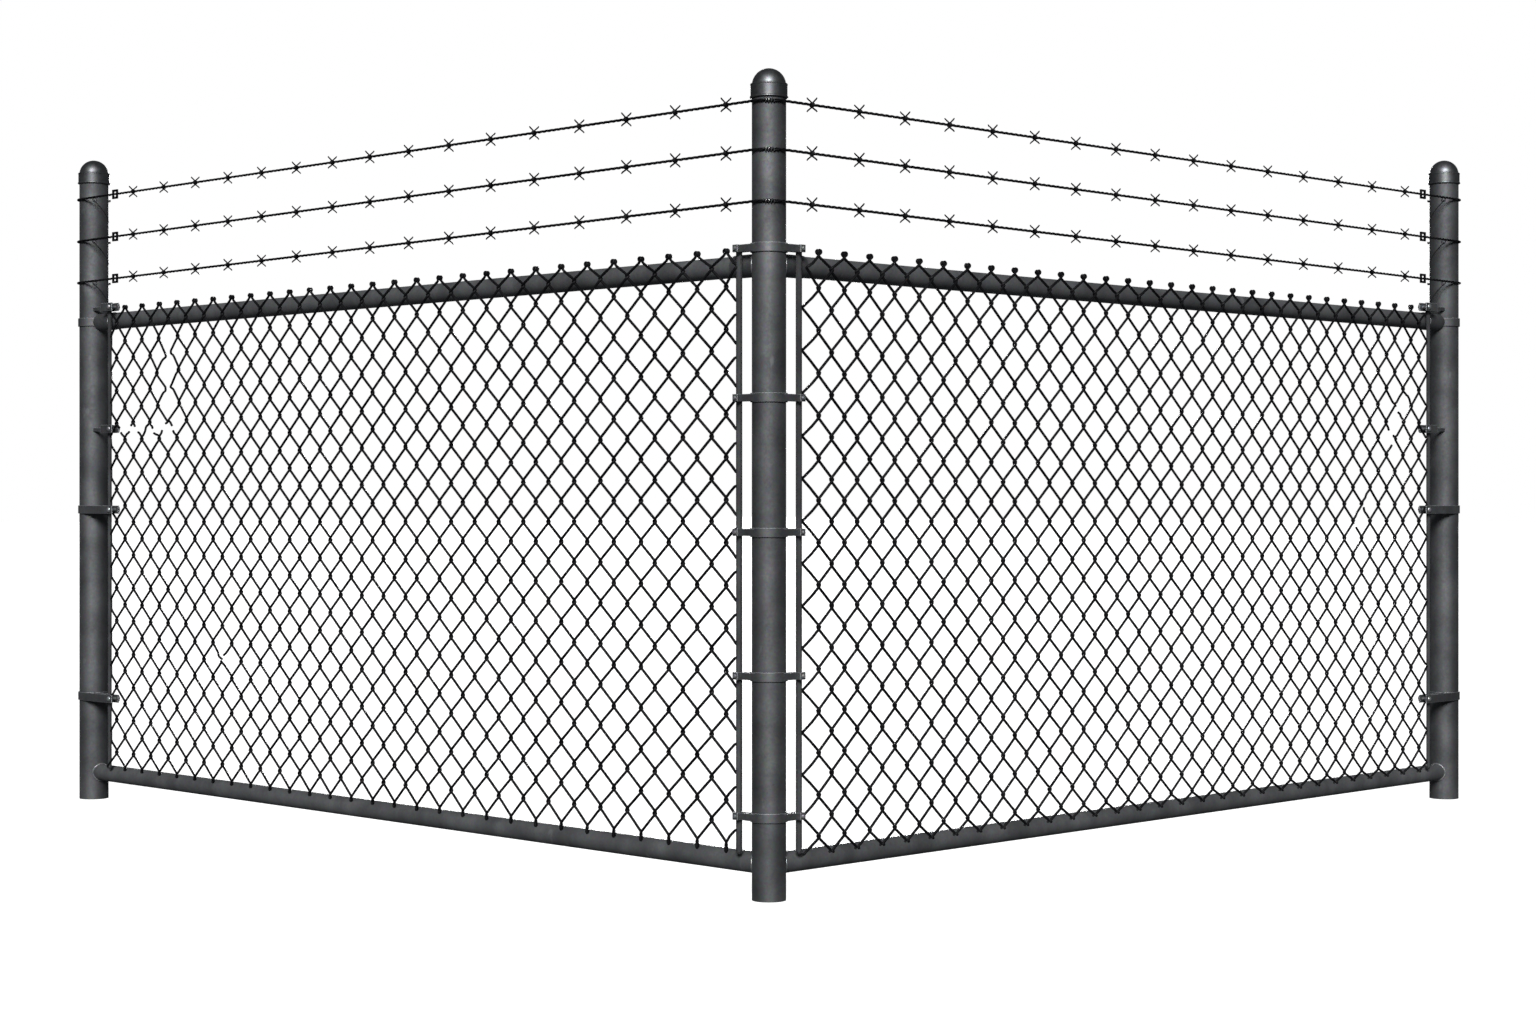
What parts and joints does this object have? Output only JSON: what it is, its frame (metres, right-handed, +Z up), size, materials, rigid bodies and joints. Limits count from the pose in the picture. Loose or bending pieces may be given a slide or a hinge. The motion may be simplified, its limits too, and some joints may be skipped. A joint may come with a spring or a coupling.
{
  "type": "chain link fence corner with barbed wire",
  "caption": "Chain link fence corner: two bays at a right angle between round posts, with top and bottom rails, tension bars, bands and strands of barbed wire above.",
  "frame": {"origin": "on the ground at the axis of the corner post", "axes": "+Z up, +X along the right bay, +Y along the left bay; the outside of the corner is to -X and -Y"},
  "size_m": [2.3154, 2.3154, 1.4934],
  "materials": {
    "tube": "satin",
    "fittings": "satin",
    "fabric_wire": "satin",
    "barbed_wire": "satin"
  },
  "bodies": {
    "root": {"corner_band_five": "fittings", "corner_band_four": "fittings", "corner_band_one": "fittings", "corner_band_three": "fittings", "corner_band_two": "fittings", "corner_post": "tube", "corner_post_cap": "tube", "left_bar_clip_middle": "fittings", "left_bar_clip_top": "fittings", "left_barbed_wire_lower": "barbed_wire", "left_barbed_wire_middle": "barbed_wire", "left_barbed_wire_top": "barbed_wire", "left_bottom_rail": "tube", "left_brace_band": "fittings", "left_end_band_lower": "fittings", "left_end_band_upper": "fittings", "left_end_post": "tube", "left_end_post_cap": "tube", "left_fabric_corner_half": "fabric_wire", "left_fabric_end_half": "fabric_wire", "left_rail_cup_at_corner": "fittings", "left_rail_cup_at_end": "fittings", "left_tension_bar_at_corner": "fittings", "left_tension_bar_at_end": "fittings", "left_top_rail": "tube", "left_wire_clamps": "barbed_wire", "right_bar_clip_middle": "fittings", "right_bar_clip_top": "fittings", "right_barbed_wire_lower": "barbed_wire", "right_barbed_wire_middle": "barbed_wire", "right_barbed_wire_top": "barbed_wire", "right_bottom_rail": "tube", "right_brace_band": "fittings", "right_end_band_lower": "fittings", "right_end_band_upper": "fittings", "right_end_post": "tube", "right_end_post_cap": "tube", "right_fabric_corner_half": "fabric_wire", "right_fabric_end_half": "fabric_wire", "right_rail_cup_at_corner": "fittings", "right_rail_cup_at_end": "fittings", "right_tension_bar_at_corner": "fittings", "right_tension_bar_at_end": "fittings", "right_top_rail": "tube", "right_wire_clamps": "barbed_wire"}
  },
  "joints": []
}
